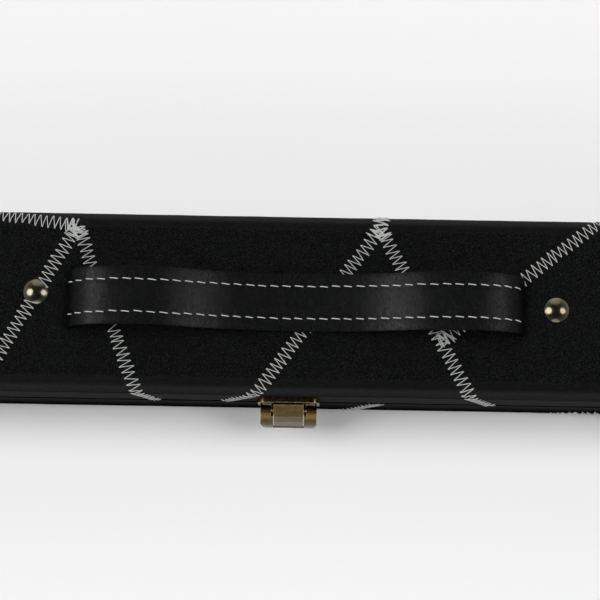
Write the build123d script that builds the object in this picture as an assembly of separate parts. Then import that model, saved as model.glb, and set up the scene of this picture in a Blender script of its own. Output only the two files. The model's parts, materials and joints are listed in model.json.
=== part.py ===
from build123d import *
import math
import os

# A long hinged cue case: a plywood-framed base and lid under stitched leatherette, moulded end caps,
# a strap handle, brass toggle latches along the front and butt hinges along the back.
# Frame: +X along the case, -Y the latch side, +Y the hinge side, +Z up.
# Origin: the centre of the base shell's underside. All lengths are in millimetres.

# Shell
OVERALL_LENGTH = 1225.0
SHELL_WIDTH = 95.0
BASE_DEPTH = 31.8
LID_DEPTH = 27.8
PARTING_GAP = 0.4
EDGE_RADIUS = 6.6
COVER = 1.0
PANEL = 4.0
RAIL = 6.0
LINING = 1.0
FIT = 0.05

# End caps, which squeeze the cover a little thinner where they grip it
CAP_WALL = 2.5
CAP_BEAD_WALL = 1.7
CAP_RECESS_WALL = 1.2
CAP_FLANGE = 23.3
CAP_TONGUE = 37.8
TONGUE_HALF_WIDTH = 21.2
SHOULDER_HALF_WIDTH = 36.3
CAP_BEAD = 1.3
CAP_RIM = 4.7
CAP_END_RADIUS = 6.0
CAP_GROOVE_FROM_END = 7.5
CAP_GROOVE = 0.5
CAP_RIVET_FROM_END = 21.0
CAP_BITE = 0.1
CAP_BITE_MARGIN = 0.25

# Studs and rivets
STUD_RADIUS = 6.75
STUD_HEIGHT = 2.4
SHANK_RADIUS = 1.75
FLAT_HEAD_RADIUS = 5.5
FLAT_HEAD = 1.2
SMALL_HEAD_RADIUS = 2.6
SMALL_HEAD = 1.5
SMALL_SHANK_RADIUS = 1.2
SMALL_SHANK_STOP = 0.5
CLENCH_RADIUS = 2.65
CLENCH = 0.85

# Handle strap: its arch is given as (distance from the middle, height of its centre line above the lid)
STRAP_WIDTH = 30.0
STRAP = 3.0
STRAP_ARCH = [(0.0, 2.2), (30.0, 4.6), (58.0, 11.16), (85.0, 15.5), (107.0, 11.16)]
STRAP_SLOT_X = 117.0
STRAP_SLOT_HALF = 3.0
STRAP_SLOT_SIDE_GAP = 0.5
STRAP_SLOT_ENTRY = 0.5
STRAP_TAIL_END_X = 150.0
STRAP_BEND = 4.0
STRAP_TAIL_GAP = 0.3
STUD_PLACES = [(-135.0, 4.0), (135.0, -1.0)]
WASHER_RADIUS = 5.5
WASHER = 1.2

# Interior
CRADLE_X = [-480.0, -240.0, 0.0, 240.0, 480.0]
CRADLE_LENGTH = 24.0
CRADLE_TOP = 26.5
CUE_RADIUS = 14.5
CUE_SPACING = 39.0
CUE_AXIS_Z = 24.5
PAD_BOTTOM_Z = 42.5
PAD_LENGTH = 1190.0
PAD_SIDE_GAP = 1.0
PAD_EDGE_RADIUS = 4.0
TAIL_POCKET_X = (111.0, 153.0)
TAIL_POCKET_HALF_WIDTH = 17.0
TAIL_POCKET_Z = 49.0

# Hinges
HINGE_X = [-476.0, -210.0, 210.0, 476.0]
HINGE_LENGTH = 38.0
HINGE_AXIS_OUT = 3.2
HINGE_KNUCKLE_RADIUS = 2.6
HINGE_PIN_RADIUS = 1.1
HINGE_PIN_STANDS_OUT = 0.5
HINGE_LEAF = 1.2
HINGE_LEAF_HEIGHT = 15.0
HINGE_LEAF_START = 3.0
HINGE_LEAF_CORNER = 2.0
HINGE_TAB = 1.8
HINGE_KNUCKLES = 5
HINGE_KNUCKLE_GAP = 0.2
BASE_KNUCKLES = [0, 2, 4]
LID_KNUCKLES = [1, 3]
HINGE_SCREW_X = [-13.0, 0.0, 13.0]
HINGE_SCREW_HEIGHT = 10.0
SCREW_HEAD_RADIUS = 2.3
SCREW_HEAD = 0.9
SCREW_RADIUS = 1.2
SCREW_LENGTH = 6.0
SCREW_SLOT = 0.6
SCREW_SLOT_DEPTH = 0.4

# Latches: "out" is the distance outward from the front wall, "up" the height above the parting line
LATCH_NAMES = ["left", "centre", "right"]
LATCH_X = [-473.0, -3.0, 473.0]
SHEET = 1.2
PIVOT_OUT = 3.6
PIVOT_UP = -3.0
PIN_RADIUS = 0.9
CLAW_PIN_ARM = 5.5
CLAW_PIN_ANGLE = -75.0

# Latch lever: a curved plate with rolled knuckles at its top and a slot for the claw
LEVER_PROFILE = [(3.6, -1.3), (7.6, -3.6), (10.2, -8.0), (11.2, -13.5), (10.9, -19.0)]
LEVER_HALF_WIDTH = 14.9
LEVER_FOOT_HALF_WIDTH = 11.5
LEVER_TAPER_UP = -8.0
LEVER_FOOT_UP = -21.0
LEVER_FOOT_CORNER = 5.0
LEVER_SLOT_HALF = 9.3
LEVER_SLOT_STEP_UP = -2.6
LEVER_SLOT_LOWER_HALF = 8.15
LEVER_SLOT_BOTTOM = -15.2
KNUCKLE_RADIUS = 2.3
CHEEK_PROFILE = [(3.0, -3.0), (3.2, -9.2), (5.2, -10.6), (10.6, -10.6), (10.2, -8.0), (8.2, -4.6), (4.4, -1.6)]
CHEEK = 1.2

# Latch claw: a strip bent along straight runs, hooked over the catch bar
CLAW_HALF_WIDTH = 7.75
CLAW_EYE_RADIUS = 1.8
CLAW_HOOK = [(1.8, 7.6), (2.2, 10.9), (3.2, 12.0)]
CLAW_FRONT = [(7.9, 4.5), (9.8, -2.0), (11.2, -10.0), (10.4, -11.6)]

# Latch strike plate on the lid
STRIKE_HALF_WIDTH = 16.0
STRIKE_BOTTOM = 1.2
STRIKE_TOP = 15.6
STRIKE_SHEET = 1.0
STRIKE_RIM = 1.8
STRIKE_RIM_OUT = 2.4
STRIKE_SIDE_RIM = 1.4
STRIKE_CORNER = 3.5
STRIKE_INNER_CORNER = 2.2
STRIKE_TRIM_ANGLE = 40.0
CATCH_HALF = 6.0
CATCH_BOTTOM = 5.6
CATCH_TOP = 7.4
CATCH_OUT = 3.0
STRIKE_RIVET_X = 11.8
STRIKE_RIVET_UP = 6.4

# Latch base plate, with two ears beside the claw
LATCH_PLATE = 0.8
LATCH_PLATE_HALF = 13.8
LATCH_PLATE_BOTTOM = -16.5
LATCH_PLATE_TOP = -1.4
LATCH_PLATE_CORNER = 3.0
EAR_INSIDE = 8.0
EAR_OUTSIDE = 9.1
EAR_RADIUS = 1.6
PLATE_RIVET_X = 8.3
PLATE_RIVET_UP = -12.5

# Derived
HALF_SHELL = OVERALL_LENGTH / 2 - CAP_WALL
HALF_WIDTH = SHELL_WIDTH / 2
LID_BOTTOM_Z = BASE_DEPTH + PARTING_GAP
LID_TOP_Z = LID_BOTTOM_Z + LID_DEPTH
PARTING_Z = BASE_DEPTH + PARTING_GAP / 2
PANEL_INSIDE_Z = COVER + PANEL
LID_PANEL_INSIDE_Z = LID_TOP_Z - COVER - PANEL
INSIDE_HALF_WIDTH = HALF_WIDTH - COVER - RAIL
INSIDE_HALF_LENGTH = HALF_SHELL - COVER - RAIL
TAIL_TOP_Z = LID_PANEL_INSIDE_Z - STRAP_TAIL_GAP
CAP_RIVET_X = OVERALL_LENGTH / 2 - CAP_RIVET_FROM_END
HINGE_Y = HALF_WIDTH + HINGE_AXIS_OUT
CLAW_PIN_OUT = PIVOT_OUT + CLAW_PIN_ARM * math.cos(math.radians(CLAW_PIN_ANGLE))
CLAW_PIN_UP = PIVOT_UP + CLAW_PIN_ARM * math.sin(math.radians(CLAW_PIN_ANGLE))
CLAW_PROFILE = CLAW_HOOK + CLAW_FRONT + [(CLAW_PIN_OUT + PIN_RADIUS, CLAW_PIN_UP - PIN_RADIUS)]
CLAW_PIN_HALF = LEVER_SLOT_HALF + CHEEK
THROUGH = 100.0


# Simple shapes

def box(x0, x1, y0, y1, z0, z1):
    """A plain block between two opposite corners, given in either order."""
    block = Box(abs(x1 - x0), abs(y1 - y0), abs(z1 - z0), align=(Align.MIN, Align.MIN, Align.MIN))
    return Pos(min(x0, x1), min(y0, y1), min(z0, z1)) * block


def rod(x, y, z, radius, length, direction):
    """A round bar that starts at a point and runs along a direction."""
    plane = Plane(origin=(x, y, z), z_dir=direction)
    return plane * Cylinder(radius, length, align=(Align.CENTER, Align.CENTER, Align.MIN))


def dome(x, y, z, radius, height, direction):
    """A low dome standing on a point, facing a direction."""
    sphere_radius = (radius**2 + height**2) / (2 * height)
    ball = Pos(0, 0, height - sphere_radius) * Sphere(sphere_radius)
    keep = Pos(0, 0, height / 2) * Box(2.2 * radius, 2.2 * radius, height)
    return Plane(origin=(x, y, z), z_dir=direction) * (ball & keep)


def vertical_hole(x, y, radius):
    """The cutter for a vertical hole right through the case."""
    return rod(x, y, -THROUGH, radius + FIT, 2 * THROUGH, (0, 0, 1))


def wall_hole(x, z, radius, wall):
    """The cutter for a hole across the case's front wall (-1) or back wall (1)."""
    return rod(x, wall * (HALF_WIDTH - COVER - RAIL), z, radius + FIT, THROUGH, (0, wall, 0))


def tray(half_length, half_width, open_z, closed_z, radius):
    """A block with its two long edges rounded on the closed face: the solid form of the base or the lid."""
    block = box(-half_length, half_length, -half_width, half_width, open_z, closed_z)
    edges = block.edges().filter_by(Axis.X).filter_by_position(Axis.Z, closed_z - 0.01, closed_z + 0.01)
    return fillet(edges, radius)


def grown_tray(open_z, closed_z, grow):
    """The outside form of the base or the lid, grown evenly by a distance."""
    outward = math.copysign(1, closed_z - open_z)
    return tray(HALF_SHELL + grow, HALF_WIDTH + grow, open_z, closed_z + outward * grow, EDGE_RADIUS + grow)


def write(name, solids):
    """Write one node, as one solid or as a group of separate solids."""
    shapes = []
    for solid in solids:
        shapes += solid.solids()
    for shape in shapes:
        shape.label = name
    whole = shapes[0] if len(shapes) == 1 else Compound(label=name, children=shapes)
    export_step(whole, f"parts/{name}.step")


# The two halves of the case

def tongue_outline(inset):
    """The outline of a cap's wide face, drawn for the right-hand end and shrunk by an inset."""
    end = OVERALL_LENGTH / 2
    beyond = HALF_WIDTH + CAP_WALL + 1
    slope = inset * math.tan(math.pi / 8)
    upper = [
        (end + 1, beyond),
        (end - CAP_FLANGE + inset, beyond),
        (end - CAP_FLANGE + inset, SHOULDER_HALF_WIDTH - slope),
        (end - CAP_TONGUE + inset, TONGUE_HALF_WIDTH - slope),
    ]
    lower = [(x, -y) for x, y in reversed(upper)]
    return make_face(Polyline(*upper, *lower, close=True))


def tongue_prism(inset):
    """Everything above and below a cap's outline."""
    return Pos(0, 0, -THROUGH) * extrude(tongue_outline(inset), 2 * THROUGH)


def shell_half(open_z, closed_z):
    """One half of the case: its cover, panel, front rail, back rail, end boards and lining."""
    inward = math.copysign(1, open_z - closed_z)
    mating_z = open_z - inward * COVER
    core_z = closed_z + inward * COVER
    panel_z = core_z + inward * PANEL
    floor_z = panel_z + inward * LINING
    core = tray(HALF_SHELL - COVER, HALF_WIDTH - COVER, mating_z, core_z, EDGE_RADIUS - COVER)
    well = box(-INSIDE_HALF_LENGTH, INSIDE_HALF_LENGTH, -INSIDE_HALF_WIDTH, INSIDE_HALF_WIDTH, panel_z, open_z)

    cover = grown_tray(open_z, closed_z, 0) - core - well
    squeezed = grown_tray(open_z, closed_z, 1) - grown_tray(open_z, closed_z, -CAP_BITE)
    grip = squeezed & tongue_prism(-CAP_BITE_MARGIN)
    cover = cover - grip - mirror(grip, Plane.YZ)

    panel = core & box(-HALF_SHELL, HALF_SHELL, -HALF_WIDTH, HALF_WIDTH, core_z, panel_z)
    front = core & box(-HALF_SHELL, HALF_SHELL, -HALF_WIDTH, -INSIDE_HALF_WIDTH, panel_z, mating_z)
    back = core & box(-HALF_SHELL, HALF_SHELL, INSIDE_HALF_WIDTH, HALF_WIDTH, panel_z, mating_z)
    ends = []
    for side in (-1, 1):
        ends.append(box(side * INSIDE_HALF_LENGTH, side * (INSIDE_HALF_LENGTH + RAIL),
                        -INSIDE_HALF_WIDTH, INSIDE_HALF_WIDTH, panel_z, mating_z))
    lining = well - box(-INSIDE_HALF_LENGTH + LINING, INSIDE_HALF_LENGTH - LINING,
                        -INSIDE_HALF_WIDTH + LINING, INSIDE_HALF_WIDTH - LINING, floor_z, open_z)
    return cover, panel, front, back, ends, lining


def cap_layer(wall, inset, open_z, closed_z):
    """One thickness layer of the right-hand cap half, outside the shell and within the cap's outline."""
    face_z = closed_z + math.copysign(wall, closed_z - open_z)
    outer = tray(HALF_SHELL + CAP_WALL, HALF_WIDTH + wall, open_z, face_z, EDGE_RADIUS + wall)
    end_edges = outer.faces().sort_by(Axis.X)[-1].edges()
    round_edges = end_edges.filter_by(lambda edge: abs(edge.center().Z - open_z) > 0.01)
    outer = fillet(round_edges, CAP_END_RADIUS)
    return (outer & tongue_prism(inset)) - grown_tray(open_z, closed_z, FIT - CAP_BITE)


def cap_half(side, open_z, closed_z):
    """One moulded half of an end cap: a raised middle, a sunk rim with a bead, and a groove near the end."""
    cap = cap_layer(CAP_WALL, CAP_RIM, open_z, closed_z) + cap_layer(CAP_BEAD_WALL, 0, open_z, closed_z)
    rim = tongue_prism(CAP_BEAD) - tongue_prism(CAP_RIM)
    cap -= rim - grown_tray(open_z, closed_z, CAP_RECESS_WALL)
    groove_x = OVERALL_LENGTH / 2 - CAP_GROOVE_FROM_END
    band = box(groove_x - CAP_GROOVE, groove_x + CAP_GROOVE, -THROUGH, THROUGH, -THROUGH, THROUGH)
    cap -= band - grown_tray(open_z, closed_z, CAP_WALL - CAP_GROOVE)
    cap -= vertical_hole(CAP_RIVET_X, 0, SHANK_RADIUS)
    return cap if side > 0 else mirror(cap, Plane.YZ)


# Studs, the handle and the interior

def stud(x, y, face_z, end_z):
    """A dome-headed stud whose shank runs down to a given height."""
    head = dome(x, y, face_z, STUD_RADIUS, STUD_HEIGHT, (0, 0, 1))
    return head + rod(x, y, end_z, SHANK_RADIUS, face_z - end_z + 0.5, (0, 0, 1))


def flush_rivet(x):
    """The flat rivet let into the underside of a base cap."""
    head = rod(x, 0, -CAP_WALL + FIT, FLAT_HEAD_RADIUS, FLAT_HEAD, (0, 0, 1))
    return head + rod(x, 0, -CAP_WALL + FIT, SHANK_RADIUS, PANEL_INSIDE_Z + CAP_WALL - FIT, (0, 0, 1))


def flush_rivet_seat(x):
    """The cutter for a flush rivet's head."""
    return rod(x, 0, -CAP_WALL - 1, FLAT_HEAD_RADIUS + FIT, 1 + FLAT_HEAD + 2 * FIT, (0, 0, 1))


def strap_path():
    """The centre line of the handle strap, from its left tail to its right tail."""
    slot_z = LID_TOP_Z - STRAP_SLOT_ENTRY
    tail_z = TAIL_TOP_Z - STRAP / 2
    bend_z = tail_z + STRAP_BEND
    middle = STRAP_BEND * (1 - math.sin(math.pi / 4))
    lines = []
    for side in (-1, 1):
        arch_points = [(side * x, 0, LID_TOP_Z + height) for x, height in STRAP_ARCH]
        slot_x = side * STRAP_SLOT_X
        bend_x = slot_x + side * STRAP_BEND
        lines.append(Spline(*arch_points, (slot_x, 0, slot_z), tangents=((side, 0, 0), (0, 0, -1))))
        lines.append(Line((slot_x, 0, slot_z), (slot_x, 0, bend_z)))
        lines.append(ThreePointArc((slot_x, 0, bend_z), (slot_x + side * middle, 0, tail_z + middle),
                                   (bend_x, 0, tail_z)))
        lines.append(Line((bend_x, 0, tail_z), (side * STRAP_TAIL_END_X, 0, tail_z)))
    return Wire(lines)


def handle_strap():
    """The strap, swept along its path, with a hole in each tail for its stud."""
    path = strap_path()
    section = Plane(origin=path @ 0, z_dir=path % 0, x_dir=(0, 1, 0)) * Rectangle(STRAP_WIDTH, STRAP)
    strap = sweep(section, path=path)
    for x, y in STUD_PLACES:
        strap -= rod(x, y, LID_PANEL_INSIDE_Z - 10, SHANK_RADIUS + FIT, 10, (0, 0, 1))
    return strap


def strap_slot(side):
    """The cutter for the slot where the strap passes through the lid."""
    half_width = STRAP_WIDTH / 2 + STRAP_SLOT_SIDE_GAP
    return box(side * (STRAP_SLOT_X - STRAP_SLOT_HALF), side * (STRAP_SLOT_X + STRAP_SLOT_HALF),
               -half_width, half_width, LID_PANEL_INSIDE_Z - 1, LID_TOP_Z + 1)


def tail_pocket(side):
    """The room left round a strap tail in the lid's lining and pad."""
    near, far = TAIL_POCKET_X
    return box(side * near, side * far, -TAIL_POCKET_HALF_WIDTH, TAIL_POCKET_HALF_WIDTH,
               TAIL_POCKET_Z, LID_PANEL_INSIDE_Z)


def handle_fixing(x, y):
    """A stud and its washer, holding a strap tail to the lid panel."""
    washer_z = TAIL_TOP_Z - STRAP - FIT - WASHER
    washer = rod(x, y, washer_z, WASHER_RADIUS, WASHER, (0, 0, 1)) - vertical_hole(x, y, SHANK_RADIUS)
    clench_z = washer_z - FIT - CLENCH
    clench = rod(x, y, clench_z, CLENCH_RADIUS, CLENCH, (0, 0, 1))
    return stud(x, y, LID_TOP_Z, clench_z + CLENCH / 2) + clench, washer


def cue_cradle(x):
    """A block across the base with two round-bottomed channels for the halves of a cue."""
    half_width = INSIDE_HALF_WIDTH - LINING
    cradle = box(x - CRADLE_LENGTH / 2, x + CRADLE_LENGTH / 2, -half_width, half_width,
                 PANEL_INSIDE_Z + LINING, CRADLE_TOP)
    for y in (-CUE_SPACING / 2, CUE_SPACING / 2):
        cradle -= rod(x - CRADLE_LENGTH, y, CUE_AXIS_Z, CUE_RADIUS, 2 * CRADLE_LENGTH, (1, 0, 0))
        cradle -= box(x - CRADLE_LENGTH, x + CRADLE_LENGTH, y - CUE_RADIUS, y + CUE_RADIUS,
                      CUE_AXIS_Z, CRADLE_TOP + 1)
    return cradle


def lid_pad():
    """The pad on the lid's lining, hollowed over the strap tails."""
    half_width = INSIDE_HALF_WIDTH - LINING - PAD_SIDE_GAP
    pad = box(-PAD_LENGTH / 2, PAD_LENGTH / 2, -half_width, half_width,
              PAD_BOTTOM_Z, LID_PANEL_INSIDE_Z - LINING)
    bottom_edges = pad.edges().filter_by_position(Axis.Z, PAD_BOTTOM_Z - 0.01, PAD_BOTTOM_Z + 0.01)
    return fillet(bottom_edges, PAD_EDGE_RADIUS) - tail_pocket(-1) - tail_pocket(1)


# Latches

def cross_rod(x, out, up, radius, half_length):
    """A round bar across a latch, parallel to the case's length."""
    return rod(x - half_length, -HALF_WIDTH - out, PARTING_Z + up, radius, 2 * half_length, (1, 0, 0))


def latch_box(x, half, out0, out1, up0, up1):
    """A block in a latch's own terms: half width, distances outward and heights above the parting line."""
    return box(x - half, x + half, -HALF_WIDTH - out0, -HALF_WIDTH - out1, PARTING_Z + up0, PARTING_Z + up1)


def across_latch(outline, x, half_width):
    """An outline in (out, up) given a width across a latch."""
    plane = Plane(origin=(x, -HALF_WIDTH, PARTING_Z), x_dir=(0, -1, 0), z_dir=(-1, 0, 0))
    return extrude(plane * outline, amount=half_width, both=True)


def curved_sheet(points, thickness):
    """The outline of a sheet curved smoothly through (out, up) points."""
    centre = Spline(*points)
    steps = 5 * (len(points) - 1)
    rims = []
    for side in (1, -1):
        rim = []
        for step in range(steps + 1):
            direction = centre % (step / steps)
            rim.append(centre @ (step / steps) + Vector(-direction.Y, direction.X) * (side * thickness / 2))
        rims.append(Spline(*rim))
    first, second = rims
    return make_face(rims + [Line(first @ 0, second @ 0), Line(first @ 1, second @ 1)])


def bent_sheet(points, thickness):
    """The outline of a sheet bent sharply at (out, up) points, with straight runs between them."""
    places = [Vector(*point) for point in points]
    normals = []
    for here, there in zip(places, places[1:]):
        run = (there - here).normalized()
        normals.append(Vector(-run.Y, run.X))
    rims = [[], []]
    for place, before, after in zip(places, normals[:1] + normals, normals + normals[-1:]):
        mitre = (before + after) * (thickness / 2 / (1 + before.dot(after)))
        rims[0].append(place + mitre)
        rims[1].append(place - mitre)
    return make_face(Polyline(*rims[0], *reversed(rims[1]), close=True))


def front_rivet(x, up, sheet):
    """A small dome-headed rivet through a latch plate, the cover and the front rail."""
    y = -HALF_WIDTH - sheet
    head = dome(x, y, PARTING_Z + up, SMALL_HEAD_RADIUS, SMALL_HEAD, (0, -1, 0))
    shank = rod(x, y, PARTING_Z + up, SMALL_SHANK_RADIUS, sheet + COVER + RAIL - SMALL_SHANK_STOP, (0, 1, 0))
    return head + shank


def strike_plate(x):
    """The lid half of a latch: a dished plate with a standing rim and a catch bar in its middle."""
    plate = latch_box(x, STRIKE_HALF_WIDTH, 0, STRIKE_RIM_OUT, STRIKE_BOTTOM, STRIKE_TOP)
    top_corners = plate.edges().filter_by(Axis.Y).sort_by(Axis.Z)[2:]
    plate = fillet(top_corners, STRIKE_CORNER)
    dish = latch_box(x, STRIKE_HALF_WIDTH - STRIKE_SIDE_RIM, STRIKE_SHEET, STRIKE_RIM_OUT + 1,
                     STRIKE_BOTTOM - 1, STRIKE_TOP - STRIKE_RIM)
    dish = fillet(dish.edges().filter_by(Axis.Y).sort_by(Axis.Z)[2:], STRIKE_INNER_CORNER)
    run = STRIKE_RIM_OUT - STRIKE_SHEET
    rise = run / math.tan(math.radians(STRIKE_TRIM_ANGLE))
    bevel = make_face(Polyline((STRIKE_SHEET, STRIKE_BOTTOM), (STRIKE_RIM_OUT, STRIKE_BOTTOM + rise),
                               (STRIKE_RIM_OUT, STRIKE_BOTTOM), close=True))
    plate -= dish + across_latch(bevel, x, STRIKE_HALF_WIDTH)
    plate += latch_box(x, CATCH_HALF, STRIKE_SHEET / 2, CATCH_OUT, CATCH_BOTTOM, CATCH_TOP)
    for offset in (-STRIKE_RIVET_X, STRIKE_RIVET_X):
        plate -= wall_hole(x + offset, PARTING_Z + STRIKE_RIVET_UP, SMALL_SHANK_RADIUS, -1)
    return plate


def latch_plate(x):
    """The base half of a latch: a flat plate with two ears that hold the lever's pivot pin."""
    plate = latch_box(x, LATCH_PLATE_HALF, 0, LATCH_PLATE, LATCH_PLATE_BOTTOM, LATCH_PLATE_TOP)
    plate = fillet(plate.edges().filter_by(Axis.Y).sort_by(Axis.Z)[:2], LATCH_PLATE_CORNER)
    ear_half = (EAR_OUTSIDE - EAR_INSIDE) / 2
    for side in (-1, 1):
        middle = x + side * (EAR_INSIDE + EAR_OUTSIDE) / 2
        plate += cross_rod(middle, PIVOT_OUT, PIVOT_UP, EAR_RADIUS, ear_half)
        plate += latch_box(middle, ear_half, 0, PIVOT_OUT, PIVOT_UP - EAR_RADIUS, PIVOT_UP + EAR_RADIUS)
    plate -= cross_rod(x, PIVOT_OUT, PIVOT_UP, PIN_RADIUS + FIT, LEVER_HALF_WIDTH)
    for offset in (-PLATE_RIVET_X, PLATE_RIVET_X):
        plate -= wall_hole(x + offset, PARTING_Z + PLATE_RIVET_UP, SMALL_SHANK_RADIUS, -1)
    return plate


def lever_front():
    """The lever's outline seen from the front, in (across, up)."""
    outline = Polyline(
        (-LEVER_HALF_WIDTH, -PIVOT_UP),
        (LEVER_HALF_WIDTH, -PIVOT_UP),
        (LEVER_HALF_WIDTH, LEVER_TAPER_UP),
        (LEVER_FOOT_HALF_WIDTH, LEVER_FOOT_UP),
        (-LEVER_FOOT_HALF_WIDTH, LEVER_FOOT_UP),
        (-LEVER_HALF_WIDTH, LEVER_TAPER_UP),
        close=True,
    )
    face = make_face(outline)
    return fillet(face.vertices().sort_by(Axis.Y)[:2], LEVER_FOOT_CORNER)


def latch_lever(x):
    """The lever: a curved plate with a slot for the claw, knuckles on its pivot and inner cheeks."""
    plate = across_latch(curved_sheet(LEVER_PROFILE, SHEET), x, LEVER_HALF_WIDTH)
    front = Plane(origin=(x, -HALF_WIDTH, PARTING_Z), x_dir=(1, 0, 0), z_dir=(0, -1, 0))
    lever = plate & extrude(front * lever_front(), 20)
    lever -= latch_box(x, LEVER_SLOT_HALF, 0, 20, LEVER_SLOT_STEP_UP, -PIVOT_UP)
    lever -= latch_box(x, LEVER_SLOT_LOWER_HALF, 0, 20, LEVER_SLOT_BOTTOM, LEVER_SLOT_STEP_UP)
    knuckle_half = (LEVER_HALF_WIDTH - LEVER_SLOT_HALF) / 2
    cheek = make_face(Polyline(*CHEEK_PROFILE, close=True))
    for side in (-1, 1):
        lever += cross_rod(x + side * (LEVER_SLOT_HALF + knuckle_half), PIVOT_OUT, PIVOT_UP,
                           KNUCKLE_RADIUS, knuckle_half)
        lever += across_latch(cheek, x + side * (LEVER_SLOT_HALF + CHEEK / 2), CHEEK / 2)
    lever -= cross_rod(x, PIVOT_OUT, PIVOT_UP, PIN_RADIUS + FIT, LEVER_HALF_WIDTH + 1)
    lever -= cross_rod(x, CLAW_PIN_OUT, CLAW_PIN_UP, PIN_RADIUS + FIT, CLAW_PIN_HALF + 1)
    return lever


def latch_claw(x):
    """The claw: a bent strip hooked over the catch bar at its top and rolled round its pin at its foot."""
    claw = across_latch(bent_sheet(CLAW_PROFILE, SHEET), x, CLAW_HALF_WIDTH)
    claw += cross_rod(x, CLAW_PIN_OUT, CLAW_PIN_UP, CLAW_EYE_RADIUS, CLAW_HALF_WIDTH)
    return claw - cross_rod(x, CLAW_PIN_OUT, CLAW_PIN_UP, PIN_RADIUS + FIT, CLAW_HALF_WIDTH + 1)


# Hinges

def hinge_leaf(x, half, knuckle_numbers):
    """One hinge leaf on the back wall of the base (-1) or the lid (1), with its knuckles round the pin."""
    near = PARTING_Z + half * HINGE_LEAF_START
    far = PARTING_Z + half * HINGE_LEAF_HEIGHT
    leaf = box(x - HINGE_LENGTH / 2, x + HINGE_LENGTH / 2, HALF_WIDTH, HALF_WIDTH + HINGE_LEAF, near, far)
    outer_corners = leaf.edges().filter_by(Axis.Y).filter_by_position(Axis.Z, far - 0.01, far + 0.01)
    leaf = fillet(outer_corners, HINGE_LEAF_CORNER)
    pitch = HINGE_LENGTH / HINGE_KNUCKLES
    for number in knuckle_numbers:
        x0 = x - HINGE_LENGTH / 2 + number * pitch + HINGE_KNUCKLE_GAP / 2
        x1 = x0 + pitch - HINGE_KNUCKLE_GAP
        leaf += box(x0, x1, HALF_WIDTH + FIT, HALF_WIDTH + HINGE_TAB, PARTING_Z, near)
        leaf += rod(x0, HINGE_Y, PARTING_Z, HINGE_KNUCKLE_RADIUS, x1 - x0, (1, 0, 0))
    leaf -= rod(x - HINGE_LENGTH, HINGE_Y, PARTING_Z, HINGE_PIN_RADIUS + FIT, 2 * HINGE_LENGTH, (1, 0, 0))
    for offset in HINGE_SCREW_X:
        leaf -= wall_hole(x + offset, PARTING_Z + half * HINGE_SCREW_HEIGHT, SCREW_RADIUS, 1)
    return leaf


def hinge_pin(x):
    """A hinge's pin, standing out a little at both ends."""
    length = HINGE_LENGTH + 2 * HINGE_PIN_STANDS_OUT
    return rod(x - length / 2, HINGE_Y, PARTING_Z, HINGE_PIN_RADIUS, length, (1, 0, 0))


def hinge_screws(x, half):
    """The slotted, dome-headed wood screws of one hinge leaf."""
    screws = []
    z = PARTING_Z + half * HINGE_SCREW_HEIGHT
    y = HALF_WIDTH + HINGE_LEAF
    for offset in HINGE_SCREW_X:
        head = dome(x + offset, y, z, SCREW_HEAD_RADIUS, SCREW_HEAD, (0, 1, 0))
        slot = box(x + offset - SCREW_HEAD_RADIUS, x + offset + SCREW_HEAD_RADIUS,
                   y + SCREW_HEAD - SCREW_SLOT_DEPTH, y + SCREW_HEAD, z - SCREW_SLOT / 2, z + SCREW_SLOT / 2)
        shank = rod(x + offset, y, z, SCREW_RADIUS, SCREW_LENGTH, (0, -1, 0))
        screws.append(head - slot + shank)
    return screws


# Building the case

def drill(shape, holes):
    """A shape with a list of cutters taken out of it."""
    for hole in holes:
        shape = shape - hole
    return shape


def rivet_holes(offsets, up):
    """Cutters through the front wall for the rivets of every latch."""
    holes = []
    for x in LATCH_X:
        for offset in offsets:
            holes.append(wall_hole(x + offset, PARTING_Z + up, SMALL_SHANK_RADIUS, -1))
    return holes


def screw_holes(half):
    """Cutters through the back wall for the screws of every hinge leaf."""
    holes = []
    for x in HINGE_X:
        for offset in HINGE_SCREW_X:
            holes.append(wall_hole(x + offset, PARTING_Z + half * HINGE_SCREW_HEIGHT, SCREW_RADIUS, 1))
    return holes


def build_base():
    """The base's shell, lining, cradles and end caps."""
    cover, panel, front, back, ends, lining = shell_half(BASE_DEPTH, 0.0)
    cap_holes = [vertical_hole(side * CAP_RIVET_X, 0, SHANK_RADIUS) for side in (-1, 1)]
    front_holes = rivet_holes((-PLATE_RIVET_X, PLATE_RIVET_X), PLATE_RIVET_UP)
    back_holes = screw_holes(-1)
    write("base_cover", [drill(cover, cap_holes + front_holes + back_holes)])
    write("base_panel", [drill(panel, cap_holes)])
    write("base_front_rail", [drill(front, front_holes)])
    write("base_back_rail", [drill(back, back_holes)])
    write("base_end_boards", ends)
    write("base_lining", [lining])
    write("cue_cradles", [cue_cradle(x) for x in CRADLE_X])
    for side, name in ((-1, "left"), (1, "right")):
        cap = cap_half(side, BASE_DEPTH, 0.0) - flush_rivet_seat(side * CAP_RIVET_X)
        write("base_end_cap_" + name, [cap])
    write("base_cap_rivets", [flush_rivet(side * CAP_RIVET_X) for side in (-1, 1)])


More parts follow.
